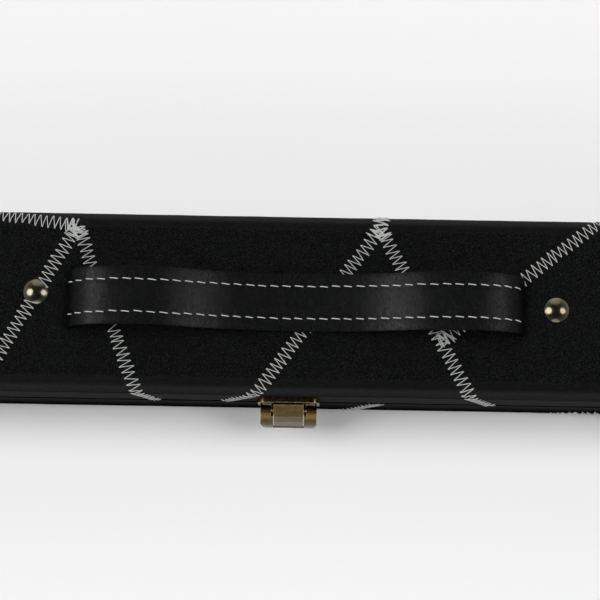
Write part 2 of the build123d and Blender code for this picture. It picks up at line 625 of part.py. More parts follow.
def build_lid():
    """The lid's shell, lining, pad and end caps, with the handle's openings."""
    cover, panel, front, back, ends, lining = shell_half(LID_BOTTOM_Z, LID_TOP_Z)
    cap_holes = [vertical_hole(side * CAP_RIVET_X, 0, SHANK_RADIUS) for side in (-1, 1)]
    stud_holes = [vertical_hole(x, y, SHANK_RADIUS) for x, y in STUD_PLACES]
    top_holes = cap_holes + stud_holes + [strap_slot(-1), strap_slot(1)]
    front_holes = rivet_holes((-STRIKE_RIVET_X, STRIKE_RIVET_X), STRIKE_RIVET_UP)
    back_holes = screw_holes(1)
    write("lid_cover", [drill(cover, top_holes + front_holes + back_holes)])
    write("lid_panel", [drill(panel, top_holes)])
    write("lid_front_rail", [drill(front, front_holes)])
    write("lid_back_rail", [drill(back, back_holes)])
    write("lid_end_boards", ends)
    write("lid_lining", [drill(lining, [tail_pocket(-1), tail_pocket(1)])])
    write("lid_pad", [lid_pad()])
    for side, name in ((-1, "left"), (1, "right")):
        write("lid_end_cap_" + name, [cap_half(side, LID_BOTTOM_Z, LID_TOP_Z)])
    rivets = [stud(side * CAP_RIVET_X, 0, LID_TOP_Z + CAP_WALL, LID_PANEL_INSIDE_Z) for side in (-1, 1)]
    write("lid_cap_rivets", rivets)


def build_handle():
    """The strap handle with its studs and washers."""
    fixings = [handle_fixing(x, y) for x, y in STUD_PLACES]
    write("handle_strap", [handle_strap()])
    write("handle_studs", [fixing for fixing, washer in fixings])
    write("handle_washers", [washer for fixing, washer in fixings])


def build_latches():
    """The three toggle latches."""
    strike_rivets = []
    plate_rivets = []
    for x in LATCH_X:
        for side in (-1, 1):
            strike_rivets.append(front_rivet(x + side * STRIKE_RIVET_X, STRIKE_RIVET_UP, STRIKE_SHEET))
            plate_rivets.append(front_rivet(x + side * PLATE_RIVET_X, PLATE_RIVET_UP, LATCH_PLATE))
    write("strike_plates", [strike_plate(x) for x in LATCH_X])
    write("strike_rivets", strike_rivets)
    write("latch_plates", [latch_plate(x) for x in LATCH_X])
    write("latch_plate_rivets", plate_rivets)
    pivot_pins = [cross_rod(x, PIVOT_OUT, PIVOT_UP, PIN_RADIUS, LEVER_HALF_WIDTH) for x in LATCH_X]
    write("latch_pivot_pins", pivot_pins)
    for name, x in zip(LATCH_NAMES, LATCH_X):
        write(name + "_latch_lever", [latch_lever(x)])
        write(name + "_latch_claw", [latch_claw(x)])
        write(name + "_claw_pin", [cross_rod(x, CLAW_PIN_OUT, CLAW_PIN_UP, PIN_RADIUS, CLAW_PIN_HALF)])


def build_hinges():
    """The four butt hinges."""
    base_screws = []
    lid_screws = []
    for x in HINGE_X:
        base_screws += hinge_screws(x, -1)
        lid_screws += hinge_screws(x, 1)
    write("hinge_base_leaves", [hinge_leaf(x, -1, BASE_KNUCKLES) for x in HINGE_X])
    write("hinge_lid_leaves", [hinge_leaf(x, 1, LID_KNUCKLES) for x in HINGE_X])
    write("hinge_pins", [hinge_pin(x) for x in HINGE_X])
    write("hinge_base_screws", base_screws)
    write("hinge_lid_screws", lid_screws)


os.makedirs("parts", exist_ok=True)
build_base()
build_lid()
build_handle()
build_latches()
build_hinges()
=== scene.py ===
"""The looks of the cue case: stitched leatherette, strap handle, antique brass, velvet inside."""
import bpy
import json
import math
import numpy as np
from mathutils import Matrix, Vector


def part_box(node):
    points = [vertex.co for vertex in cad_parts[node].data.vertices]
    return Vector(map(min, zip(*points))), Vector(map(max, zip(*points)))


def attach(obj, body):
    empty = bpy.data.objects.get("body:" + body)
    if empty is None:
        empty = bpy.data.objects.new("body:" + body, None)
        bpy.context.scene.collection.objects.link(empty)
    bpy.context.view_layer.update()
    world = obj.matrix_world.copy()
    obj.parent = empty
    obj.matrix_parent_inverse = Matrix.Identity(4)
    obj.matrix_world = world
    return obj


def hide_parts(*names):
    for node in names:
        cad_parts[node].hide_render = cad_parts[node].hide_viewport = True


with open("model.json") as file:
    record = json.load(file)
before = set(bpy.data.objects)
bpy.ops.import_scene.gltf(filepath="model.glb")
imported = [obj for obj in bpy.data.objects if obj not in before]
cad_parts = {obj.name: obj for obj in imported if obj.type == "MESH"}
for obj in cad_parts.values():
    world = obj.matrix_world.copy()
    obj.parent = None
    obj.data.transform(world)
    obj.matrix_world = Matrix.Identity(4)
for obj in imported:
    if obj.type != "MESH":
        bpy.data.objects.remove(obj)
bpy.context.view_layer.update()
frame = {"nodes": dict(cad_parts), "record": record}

MM = 0.001
RANDOM = np.random.default_rng(7)

# ---------------------------------------------------------------- sizes, from the frame
LID_LOW, LID_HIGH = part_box("lid_cover")
BASE_LOW, BASE_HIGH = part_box("base_cover")
STRAP_LOW, STRAP_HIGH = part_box("handle_strap")
PAD_LOW, PAD_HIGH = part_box("lid_pad")
CRADLE_LOW, CRADLE_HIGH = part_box("cue_cradles")
LINING_LOW, LINING_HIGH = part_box("base_lining")
LID_LINING_LOW, LID_LINING_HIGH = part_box("lid_lining")
CAP_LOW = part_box("base_end_cap_left")[0]

HALF_LENGTH = LID_HIGH[0]
HALF_WIDTH = LID_HIGH[1]
INSIDE_HALF_WIDTH = LINING_HIGH[1]
END_X = -CAP_LOW[0]
EDGE_RADIUS = 6.6 * MM
SKIN = 0.9 * MM
SKIN_STEP = 1.0 * MM
FLAT = HALF_WIDTH - EDGE_RADIUS
ARC = EDGE_RADIUS * math.pi / 2
LIP_RADIUS = 1.2 * MM
PARTING = LID_LOW[2]
GRAIN_END = FLAT - 1.6 * MM

# how far the end caps reach along the case, at each distance from its middle line
CAP_ACROSS = [0.0, 21.2 * MM, 36.3 * MM, 1.0]
CAP_REACH = [37.8 * MM, 37.8 * MM, 23.3 * MM, 23.3 * MM]

# stitching of the cover: zigzag width, length of one full zigzag and thread radius
ZIGZAG_WIDTH = 7.3 * MM
ZIGZAG_PITCH = 3.4 * MM
THREAD = 0.21 * MM
BACK_TACK = 4

# the strap handle
STRAP_SLOT_X = 117 * MM
STRAP_HALF_WIDTH = STRAP_HIGH[1]
STRAP_THICKNESS = 3.0 * MM
STITCH_ROW = 8.5 * MM
STITCH_PITCH = 6.4 * MM
STITCH_LENGTH = 4.7 * MM
STITCH_SLANT = -0.5 * MM
STITCH_RADIUS = 0.23 * MM

# the cradles' places and lengths along the case, and the cue channels' places, heights and radius
CRADLE_X = np.array([-480, -240, 0, 240, 480]) * MM
CRADLE_LENGTH = 24.0 * MM
CHANNEL_Y = 19.5 * MM
CHANNEL_Z = 24.5 * MM
CHANNEL_RADIUS = 14.5 * MM

# the cloth simulation that plumps the lid pad
PAD_VOXEL = 4.5 * MM
PAD_PRESSURE = 4.0
PAD_FRAMES = 20
PAD_SWELL = 2.2 * MM

# brightness of the studio by height: (sine of the angle above the horizon, grey)
SKY = [(0.0, 0.95), (0.12, 0.80), (0.45, 0.34), (0.75, 0.07), (1.0, 0.045)]


class Shell:
    """One leatherette skin: x runs along the case, s across it, measured round the outside."""

    def __init__(self, open_z, closed_z):
        self.open_z = open_z
        self.closed_z = closed_z
        self.up = 1 if closed_z > open_z else -1
        self.wall = abs(closed_z - open_z) - EDGE_RADIUS
        self.edge = FLAT + ARC + self.wall

    def point(self, s):
        """(y, z) and the outward normal at s."""
        side = np.sign(s)
        a = np.abs(s)
        turn = np.clip((a - FLAT) / EDGE_RADIUS, 0, math.pi / 2)
        drop = np.clip(a - FLAT - ARC, 0, None)
        y = side * (np.minimum(a, FLAT) + EDGE_RADIUS * np.sin(turn))
        z = self.closed_z - self.up * (EDGE_RADIUS * (1 - np.cos(turn)) + drop)
        return np.stack([y, z], -1), np.stack([side * np.sin(turn), self.up * np.cos(turn)], -1)


LID = Shell(LID_LOW[2], LID_HIGH[2])
BASE = Shell(BASE_HIGH[2], BASE_LOW[2])

# Seams between the patches, in millimetres: (x, s) of each end, s positive towards the hinges.
# EDGE stands for the mating edge of that half.
EDGE = 999.0
LID_SEAMS = [
    ((-589, 35.2), (-452.5, -21.0)),
    ((-456.0, EDGE), (-454.0, -EDGE)),
    ((-364.6, EDGE), (-362.7, -EDGE)),
    ((-363.6, EDGE), (-162.6, -45.4)),
    ((-352.0, EDGE), (-114.5, 39.5)),
    ((-114.5, 39.5), (-177.0, -EDGE)),
    ((-114.5, 39.5), (-72.5, -EDGE)),
    ((43.5, 41.0), (-37.6, -EDGE)),
    ((43.5, 41.0), (103.4, -EDGE)),
    ((48.0, EDGE), (43.5, 41.0)),
    ((74.6, -19.0), (191.0, EDGE)),
    ((236.0, EDGE), (200.0, -EDGE)),
    ((214.5, -14.0), (372.0, EDGE)),
    ((352.0, EDGE), (356.0, -EDGE)),
    ((354.6, -22.0), (290.0, -EDGE)),
    ((452.0, EDGE), (449.0, -EDGE)),
    ((450.5, 8.0), (586.0, -32.0)),
]
BASE_SEAMS = [
    ((-520.0, EDGE), (-470.0, -EDGE)),
    ((-496.0, 2.0), (-586.0, -30.0)),
    ((-372.0, EDGE), (-389.0, -EDGE)),
    ((-380.0, 0.0), (-250.0, EDGE)),
    ((-355.0, -EDGE), (-240.0, 66.0)),
    ((-170.0, EDGE), (-205.0, -EDGE)),
    ((-199.0, -40.0), (-262.0, -EDGE)),
    ((-49.0, EDGE), (44.8, -EDGE)),
    ((10.0, -20.0), (262.0, -EDGE)),
    ((-20.0, 28.0), (120.0, EDGE)),
    ((180.0, EDGE), (148.0, -56.0)),
    ((300.0, EDGE), (338.0, -EDGE)),
    ((318.0, 4.0), (440.0, EDGE)),
    ((470.0, EDGE), (466.0, -EDGE)),
    ((468.0, -10.0), (586.0, 24.0)),
]


def seam_ends(shell, seam):
    """A seam's two ends in metres, with EDGE turned into the shell's own mating edge."""
    ends = []
    for x, s in seam:
        s = math.copysign(shell.edge - 0.4 * MM, s) if abs(s) == EDGE else s * MM
        ends.append(np.array([x * MM, s]))
    return ends


def smoothstep(low, high, value):
    t = np.clip((value - low) / (high - low), 0, 1)
    return t * t * (3 - 2 * t)


def ripple(x, s, seed):
    """Gentle unevenness, between about -1 and 1, from a few crossed waves."""
    waves = np.random.default_rng(seed)
    total = np.zeros_like(x)
    for _ in range(14):
        angle = waves.uniform(0, math.pi)
        length = waves.uniform(9, 60) * MM
        phase = waves.uniform(0, 2 * math.pi)
        total += np.sin((x * math.cos(angle) + s * math.sin(angle)) * 2 * math.pi / length + phase)
    return total / 6


def clear_of_cap(x, s):
    """Distance along the case from a point on a skin to the nearer end cap, negative under the cap."""
    return END_X - np.abs(x) - np.interp(np.abs(s), CAP_ACROSS, CAP_REACH)


def skin_height(shell, seams, x, s):
    """How far the leatherette stands out from the shell at (x, s)."""
    height = 0.26 * MM * (1 - smoothstep(GRAIN_END - 0.8 * MM, GRAIN_END + 0.6 * MM, np.abs(s)))
    height += 0.07 * MM * ripple(x, s, 3 if shell is LID else 4)
    for seam in seams:
        a, b = seam_ends(shell, seam)
        along = b - a
        length = np.linalg.norm(along)
        along = along / length
        dx, ds = x - a[0], s - a[1]
        t = np.clip(dx * along[0] + ds * along[1], 0, length)
        off = np.hypot(dx - t * along[0], ds - t * along[1])
        stitch = np.cos(t * 2 * math.pi / ZIGZAG_PITCH)
        height -= 0.38 * MM * np.exp(-((off / (0.8 * MM)) ** 2))
        height += 0.12 * MM * np.exp(-(((off - 2.0 * MM) / (1.2 * MM)) ** 2))
        pull = np.exp(-(((off - ZIGZAG_WIDTH / 2) / (1.0 * MM)) ** 2))
        height -= (0.14 + 0.08 * stitch) * MM * pull
    if shell is LID:
        for side in (-1, 1):
            across = np.abs(x - side * STRAP_SLOT_X) / (3.6 * MM)
            down = np.abs(s) / (STRAP_HALF_WIDTH + 1.2 * MM)
            height -= 0.9 * MM * (1 - smoothstep(0.7, 1.35, np.maximum(across, down)))
    under_cap = 1 - smoothstep(0.4 * MM, 1.8 * MM, clear_of_cap(x, s))
    return height * (1 - under_cap) - 0.13 * MM * under_cap


# ---------------------------------------------------------------- mesh building
def new_mesh(name, vertices, faces, smooth=True):
    mesh = bpy.data.meshes.new(name)
    mesh.from_pydata([tuple(map(float, v)) for v in vertices], [], [tuple(map(int, f)) for f in faces])
    mesh.validate()
    mesh.update()
    if smooth:
        mesh.polygons.foreach_set("use_smooth", [True] * len(mesh.polygons))
    piece = bpy.data.objects.new(name, mesh)
    bpy.context.scene.collection.objects.link(piece)
    return piece


def loft_faces(count, around, first=0):
    """Quads between closed rings of points, with a cap on the first and last ring."""
    i = np.arange(count - 1)[:, None]
    j = np.arange(around)[None, :]
    k = (j + 1) % around
    quads = np.stack([i * around + j, i * around + k, (i + 1) * around + k, (i + 1) * around + j], -1)
    faces = (quads.reshape(-1, 4) + first).tolist()
    faces.append((first + np.arange(around)[::-1]).tolist())
    faces.append((first + (count - 1) * around + np.arange(around)).tolist())
    return faces


def loft(name, rings):
    """A closed solid through a row of closed rings, as an array of (ring, point, 3)."""
    rings = np.asarray(rings)
    return new_mesh(name, rings.reshape(-1, 3), loft_faces(rings.shape[0], rings.shape[1]))


class Bundle:
    """Many small closed lofts gathered into one mesh."""

    def __init__(self):
        self.vertices = []
        self.faces = []
        self.count = 0

    def add(self, rings):
        rings = np.asarray(rings)
        self.vertices.append(rings.reshape(-1, 3))
        self.faces += loft_faces(rings.shape[0], rings.shape[1], self.count)
        self.count += rings.shape[0] * rings.shape[1]

    def piece(self, name):
        return new_mesh(name, np.concatenate(self.vertices), self.faces)


def tube(points, radius, sides=6):
    """Rings round a row of points, for a round thread."""
    points = np.asarray(points, float)
    ahead = np.gradient(points, axis=0)
    ahead /= np.linalg.norm(ahead, axis=1)[:, None]
    up = np.array([0.13, 0.21, 0.97])
    across = np.cross(ahead, up)
    across /= np.linalg.norm(across, axis=1)[:, None]
    over = np.cross(across, ahead)
    turn = np.linspace(0, 2 * math.pi, sides, endpoint=False)
    radius = np.broadcast_to(np.asarray(radius, float), (len(points),))[:, None, None]
    sideways = np.cos(turn)[None, :, None] * across[:, None, :]
    upwards = np.sin(turn)[None, :, None] * over[:, None, :]
    return points[:, None, :] + radius * (sideways + upwards)


def rounded_box_rings(low, high, radius, steps=4):
    """Rings along X for a box whose every edge is rounded."""
    low, high = np.array(low, float), np.array(high, float)
    turns = np.linspace(0, math.pi / 2, steps + 1)
    rings = []
    stations = [(low[0] + radius * (1 - math.cos(t)), radius * (1 - math.sin(t))) for t in turns]
    stations += [(high[0] - radius * (1 - math.cos(t)), radius * (1 - math.sin(t))) for t in turns[::-1]]
    for x, inset in stations:
        corner = max(radius - inset, 0.02 * MM)
        y0, y1 = low[1] + inset, high[1] - inset
        z0, z1 = low[2] + inset, high[2] - inset
        ring = []
        for cy, cz, start in ((y1, z1, 0), (y0, z1, 1), (y0, z0, 2), (y1, z0, 3)):
            centre_y = cy - corner if cy == y1 else cy + corner
            centre_z = cz - corner if cz == z1 else cz + corner
            for t in turns:
                angle = start * math.pi / 2 + t
                y = centre_y + corner * math.cos(angle)
                z = centre_z + corner * math.sin(angle)
                ring.append((x, y, z))
        rings.append(ring)
    return rings


# ---------------------------------------------------------------- materials
class Paint:
    """A procedural material and short ways to add nodes to it."""

    def __init__(self, name):
        self.material = bpy.data.materials.new(name)
        self.material.use_nodes = True
        self.tree = self.material.node_tree
        self.tree.nodes.clear()
        self.out = self.add("ShaderNodeOutputMaterial")
        self.shader = self.add("ShaderNodeBsdfPrincipled")
        self.tree.links.new(self.shader.outputs[0], self.out.inputs["Surface"])
        place = self.add("ShaderNodeTexCoord")
        self.coords = place.outputs["Object"]
        self.facing = place.outputs["Normal"]

    def add(self, kind, inputs=None, **settings):
        node = self.tree.nodes.new(kind)
        for key, value in settings.items():
            setattr(node, key, value)
        for key, value in (inputs or {}).items():
            self.put(node, key, value)
        return node

    def put(self, node, key, value):
        if isinstance(value, bpy.types.NodeSocket):
            self.tree.links.new(value, node.inputs[key])
        else:
            node.inputs[key].default_value = value

    def set(self, **values):
        for key, value in values.items():
            self.put(self.shader, key.replace("_", " "), value)

    def maths(self, operation, a, b=0.0, c=0.0):
        return self.add("ShaderNodeMath", {0: a, 1: b, 2: c}, operation=operation).outputs[0]

    def noise(self, scale, detail=2.0, roughness=0.5, vector=None, distortion=0.0):
        values = {"Vector": vector or self.coords, "Scale": scale, "Detail": detail,
                  "Roughness": roughness, "Distortion": distortion}
        return self.add("ShaderNodeTexNoise", values).outputs["Fac"]

    def stretch(self, x, y, z, vector=None):
        values = {"Vector": vector or self.coords, "Scale": (x, y, z)}
        return self.add("ShaderNodeMapping", values).outputs[0]

    def warp(self, scale, amount):
        """The coordinates pushed about by noise."""
        push = self.add("ShaderNodeTexNoise", {"Vector": self.coords, "Scale": scale, "Detail": 2.0})
        values = {0: push.outputs["Color"], "Scale": amount}
        scaled = self.add("ShaderNodeVectorMath", values, operation="SCALE")
        return self.add("ShaderNodeVectorMath", {0: self.coords, 1: scaled.outputs[0]}).outputs[0]

    def cells(self, scale, vector, feature="DISTANCE_TO_EDGE"):
        return self.add("ShaderNodeTexVoronoi", {"Vector": vector, "Scale": scale},
                        feature=feature).outputs["Distance"]

    def ramp(self, value, stops):
        node = self.add("ShaderNodeValToRGB", {"Fac": value})
        bands = node.color_ramp.elements
        while len(bands) < len(stops):
            bands.new(0.5)
        for band, (place, colour) in zip(bands, stops):
            band.position = place
            band.color = (*colour, 1) if isinstance(colour, tuple) else (colour, colour, colour, 1)
        return node.outputs["Color"]

    def remap(self, value, low, high, new_low, new_high):
        return self.add("ShaderNodeMapRange", {"Value": value, "From Min": low, "From Max": high,
                                               "To Min": new_low, "To Max": new_high}).outputs[0]

    def mix(self, factor, first, second):
        node = self.add("ShaderNodeMix", data_type="RGBA")
        self.put(node, 0, factor)
        self.put(node, 6, first)
        self.put(node, 7, second)
        return node.outputs[2]

    def bump(self, height, strength, distance, normal=None):
        values = {"Height": height, "Strength": strength, "Distance": distance}
        if normal is not None:
            values["Normal"] = normal
        return self.add("ShaderNodeBump", values).outputs[0]

    def dull(self, amount, colour):
        """Take away part of the surface's shine, leaving a plain matt colour in its place."""
        matt = self.add("ShaderNodeBsdfDiffuse", {"Color": colour, "Roughness": 1.0})
        shaders = {0: amount, 1: self.shader.outputs[0], 2: matt.outputs[0]}
        both = self.add("ShaderNodeMixShader", shaders)
        self.tree.links.new(both.outputs[0], self.out.inputs["Surface"])

    def edges(self, radius):
        """1 on the sharp edges of a solid, 0 on its faces."""
        rounded = self.add("ShaderNodeBevel", {"Radius": radius}, samples=6).outputs[0]
        flat = self.add("ShaderNodeNewGeometry").outputs["Normal"]
        both = self.add("ShaderNodeVectorMath", {0: rounded, 1: flat}, operation="DOT_PRODUCT")
        return self.remap(both.outputs["Value"], 0.995, 0.90, 0.0, 1.0)

    def split(self):
        return self.add("ShaderNodeSeparateXYZ", {0: self.coords}).outputs


def leatherette():
    """Black pebble-grained leatherette, crisp on the flat faces and stretched smooth over the edges."""
    p = Paint("pebbled_leatherette")
    wide = p.maths("ABSOLUTE", p.split()[1])
    flat = p.remap(wide, GRAIN_END - 0.4 * MM, GRAIN_END + 0.5 * MM, 1.0, 0.15)
    pebbles = p.cells(960.0, p.warp(300.0, 0.0007))
    domes = p.ramp(pebbles, [(0.0, 0.0), (0.10, 0.25), (0.25, 0.8), (0.45, 1.0)])
    fine = p.noise(3600.0, 3.0)
    creases = p.noise(240.0, 4.0, 0.6, distortion=0.6)
    height = p.maths("MULTIPLY", p.maths("ADD", domes, p.maths("MULTIPLY", fine, 0.35)), flat)
    height = p.maths("ADD", height, p.maths("MULTIPLY", creases, 0.5))
    # the pebbles' own tone with painted shade: the valleys between the pebbles are painted near black
    colour = p.mix(domes, (0.0001, 0.0002, 0.0002, 1), (0.0032, 0.0038, 0.0037, 1))
    # painted highlight: small lighter flecks on the flat faces stand in for glints off the pebble grain
    painted_glints = p.ramp(p.noise(1300.0, 2.0), [(0.56, 0.0), (0.70, 1.0)])
    colour = p.mix(p.maths("MULTIPLY", painted_glints, flat), colour, (0.0125, 0.0140, 0.0138, 1))
    blotch = p.noise(26.0, 3.0)
    colour = p.mix(p.maths("MULTIPLY", blotch, 0.2), colour, (0.0040, 0.0047, 0.0046, 1))
    rough = p.maths("ADD", p.remap(fine, 0.3, 0.7, 0.36, 0.50), p.remap(flat, 0.22, 1.0, 0.0, 0.06))
    facing = p.maths("ABSOLUTE", p.add("ShaderNodeSeparateXYZ", {0: p.facing}).outputs[2])
    dull = p.ramp(facing, [
        (0.0, 0.79), (0.05, 0.81), (0.12, 0.90), (0.5, 0.70), (0.9, 0.54), (1.0, 0.65)])
    dull = p.maths("ADD", dull, p.remap(p.split()[2], 0.0, PARTING, 0.28, 0.02))
    valley = p.maths("MULTIPLY", p.maths("MULTIPLY", p.maths("SUBTRACT", 0.75, domes), flat), 0.34)
    from_parting = p.maths("ABSOLUTE", p.maths("SUBTRACT", p.split()[2], PARTING))
    outside = p.remap(wide, HALF_WIDTH - LIP_RADIUS, HALF_WIDTH - 0.6 * LIP_RADIUS, 0.0, 1.0)
    shadow_gap = p.maths("MULTIPLY", p.remap(from_parting, 1.7 * MM, 2.5 * MM, 1.0, 0.0), outside)
    colour = p.mix(shadow_gap, colour, (0.0001, 0.0001, 0.0001, 1))
    p.set(Base_Color=colour, Roughness=rough, Specular_IOR_Level=0.36,
          Normal=p.bump(height, 0.9, 0.42 * MM))
    p.dull(p.maths("MAXIMUM", p.maths("ADD", dull, valley), shadow_gap), colour)
    return p.material


def strap_leather():
    """The handle's softer black leather, with fine creases."""
    p = Paint("strap_leather")
    pores = p.cells(1250.0, p.warp(800.0, 0.0007))
    skin = p.ramp(pores, [(0.0, 0.0), (0.16, 0.8), (0.6, 1.0)])
    creases = p.noise(1.0, 4.0, 0.62, vector=p.stretch(420.0, 170.0, 420.0), distortion=0.5)
    fine = p.noise(4200.0, 2.0)
    height = p.maths("ADD", p.maths("MULTIPLY", skin, 0.6), p.maths("MULTIPLY", creases, 0.7))
    height = p.maths("ADD", height, p.maths("MULTIPLY", fine, 0.25))
    along = p.maths("ABSOLUTE", p.split()[0])
    bend = p.maths("SUBTRACT", 1.0, p.maths("ABSOLUTE", p.remap(along, 92 * MM, 116 * MM, -1.0, 1.0)))
    folds = p.noise(1.0, 3.0, 0.6, vector=p.stretch(720.0, 60.0, 60.0), distortion=0.4)
    height = p.maths("ADD", height, p.maths("MULTIPLY", folds, p.maths("MULTIPLY", bend, 1.6)))
    colour = p.mix(creases, (0.0006, 0.0009, 0.0009, 1), (0.0018, 0.0023, 0.0022, 1))
    burnished = p.ramp(p.maths("DIVIDE", along, STRAP_SLOT_X), [
        (0.28, 0.0), (0.40, 1.0), (0.48, 1.0), (0.58, 0.0), (0.82, 0.0), (0.90, 1.0), (0.96, 0.2)])
    p.set(Base_Color=colour, Roughness=p.remap(creases, 0.3, 0.7, 0.31, 0.24), Specular_IOR_Level=0.45,
          Normal=p.bump(height, 0.6, 0.24 * MM))
    dull = p.remap(skin, 0.0, 1.0, 0.88, 0.70)
    p.dull(p.maths("SUBTRACT", dull, p.maths("MULTIPLY", burnished, 0.30)), colour)
    return p.material


def moulded_plastic():
    """Smooth black moulding with faint flow marks and handling scuffs."""
    p = Paint("moulded_plastic")
    flow = p.noise(60.0, 3.0)
    scuffs = p.noise(90.0, 5.0, 0.65)
    colour = p.mix(flow, (0.0007, 0.0010, 0.0010, 1), (0.0014, 0.0018, 0.0018, 1))
    edge = p.add("ShaderNodeBevel", {"Radius": 0.5 * MM}, samples=4).outputs[0]
    p.set(Base_Color=colour, Roughness=p.remap(scuffs, 0.35, 0.7, 0.20, 0.27), Specular_IOR_Level=0.42,
          Normal=p.bump(scuffs, 0.10, 0.05 * MM, edge))
    p.dull(0.25, colour)
    return p.material


def antique_brass():
    """Darkened brass, rubbed back to gold on its edges and high spots."""
    p = Paint("antique_brass")
    patina = p.noise(320.0, 5.0, 0.6)
    worn = p.maths("MULTIPLY", p.edges(0.5 * MM), p.remap(patina, 0.3, 0.6, 0.5, 1.0))
    brushed = p.noise(1.0, 3.0, 0.6, vector=p.stretch(240.0, 2600.0, 2600.0))
    body = p.mix(patina, (0.028, 0.020, 0.009, 1), (0.150, 0.100, 0.036, 1))
    colour = p.mix(p.maths("MULTIPLY", worn, 0.85), body, (0.60, 0.42, 0.15, 1))
    edge = p.add("ShaderNodeBevel", {"Radius": 0.35 * MM}, samples=4).outputs[0]
    fine = p.remap(brushed, 0.3, 0.7, 0.20, 0.32)
    rough = p.maths("ADD", fine, p.remap(patina, 0.3, 0.7, -0.04, 0.08))
    p.set(Base_Color=colour, Metallic=1.0, Roughness=rough,
          Normal=p.bump(brushed, 0.10, 0.03 * MM, edge))
    return p.material


def dark_stud():
    """Polished studs of dark antiqued nickel."""
    p = Paint("dark_stud_metal")
    tarnish = p.noise(420.0, 4.0, 0.6)
    colour = p.mix(tarnish, (0.085, 0.072, 0.048, 1), (0.190, 0.165, 0.120, 1))
    p.set(Base_Color=colour, Metallic=1.0, Roughness=p.remap(tarnish, 0.3, 0.7, 0.14, 0.22),
          Normal=p.bump(tarnish, 0.05, 0.05 * MM))
    return p.material


def plated_steel():
    p = Paint("plated_steel")
    brushed = p.noise(1.0, 3.0, 0.6, vector=p.stretch(2200.0, 300.0, 2200.0))
    colour = p.mix(brushed, (0.36, 0.34, 0.29, 1), (0.56, 0.54, 0.47, 1))
    p.set(Base_Color=colour, Metallic=1.0, Roughness=p.remap(brushed, 0.3, 0.7, 0.22, 0.36),
          Normal=p.bump(brushed, 0.08, 0.03 * MM))
    return p.material


def cotton(name, light, dark):
    """Twisted sewing thread."""
    p = Paint(name)
    fibres = p.noise(5200.0, 3.0, 0.6)
    dirt = p.noise(90.0, 3.0)
    colour = p.mix(p.maths("MULTIPLY", fibres, dirt), light, dark)
    p.set(Base_Color=colour, Roughness=0.78, Sheen_Weight=0.25, Normal=p.bump(fibres, 0.5, 0.12 * MM))
    return p.material


def velvet(name, deep, bright):
    """Short velvet pile, brushed in soft patches whose lighter and darker colour is painted sheen."""
    p = Paint(name)
    pile = p.noise(5200.0, 2.0)
    brushed = p.noise(30.0, 3.0, 0.6, distortion=0.2)
    # painted sheen: the colour is lighter and darker in soft patches, for light catching the pile where
    # it lies different ways
    colour = p.mix(p.ramp(brushed, [(0.30, 0.25), (0.70, 0.75)]), deep, bright)
    p.set(Base_Color=colour, Roughness=0.9, Specular_IOR_Level=0.15,
          Sheen_Weight=0.7, Sheen_Roughness=0.35, Sheen_Tint=bright, Normal=p.bump(pile, 0.5, 0.25 * MM))
    return p.material


def birch_plywood():
    """Birch plywood, with long grain on its faces and plies on its edges."""
    p = Paint("birch_plywood")
    grain = p.noise(1.0, 5.0, 0.6, vector=p.stretch(9.0, 420.0, 420.0), distortion=0.8)
    plies = p.add("ShaderNodeTexWave", {"Vector": p.coords, "Scale": 130.0, "Distortion": 0.4},
                  bands_direction="Z").outputs["Fac"]
    wood = p.mix(grain, (0.42, 0.27, 0.14, 1), (0.66, 0.49, 0.30, 1))
    colour = p.mix(p.maths("MULTIPLY", plies, 0.3), wood, (0.30, 0.18, 0.09, 1))
    p.set(Base_Color=colour, Roughness=0.62, Normal=p.bump(grain, 0.25, 0.2 * MM))
    return p.material


def pale_floor():
    p = Paint("pale_floor")
    cloud = p.noise(3.0, 2.0)
    p.set(Base_Color=p.mix(cloud, (0.92, 0.92, 0.92, 1), (0.94, 0.94, 0.94, 1)), Roughness=0.9)
    return p.material


LEATHERETTE = leatherette()
STRAP_LEATHER = strap_leather()
PLASTIC = moulded_plastic()
BRASS = antique_brass()
STUD = dark_stud()
STEEL = plated_steel()
WHITE_THREAD = cotton("white_thread", (0.52, 0.53, 0.51, 1), (0.36, 0.37, 0.36, 1))
STRAP_THREAD = cotton("strap_thread", (0.66, 0.66, 0.64, 1), (0.46, 0.46, 0.44, 1))
LINING_VELVET = velvet("lining_velvet", (0.070, 0.004, 0.009, 1), (0.150, 0.012, 0.022, 1))
PAD_VELVET = velvet("pad_velvet", (0.085, 0.005, 0.011, 1), (0.175, 0.014, 0.026, 1))
PLYWOOD = birch_plywood()

CAD_MATERIALS = {
    "moulded_cap": PLASTIC,
    "antique_brass": BRASS,
    "stud_brass": STUD,
    "pin_steel": STEEL,
    "plywood": PLYWOOD,
    "leatherette": LEATHERETTE,
    "strap_leather": STRAP_LEATHER,
    "velvet": LINING_VELVET,
    "pad_velvet": PAD_VELVET,
}


def paint(piece, material):
    piece.data.materials.clear()
    piece.data.materials.append(material)


def paint_cad_nodes():
    """Every carried-over node gets the procedural material of its slot."""
    for part in frame["record"]["subparts"]:
        node = frame["nodes"][part["node"]]
        for slot in node.material_slots:
            slot.material = CAD_MATERIALS[part["material_slot"]]


def finish_piece(piece, body, slot, material, *nodes):
    paint(piece, material)
    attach(piece, body)
    if nodes:
        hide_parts(*nodes)
    return piece


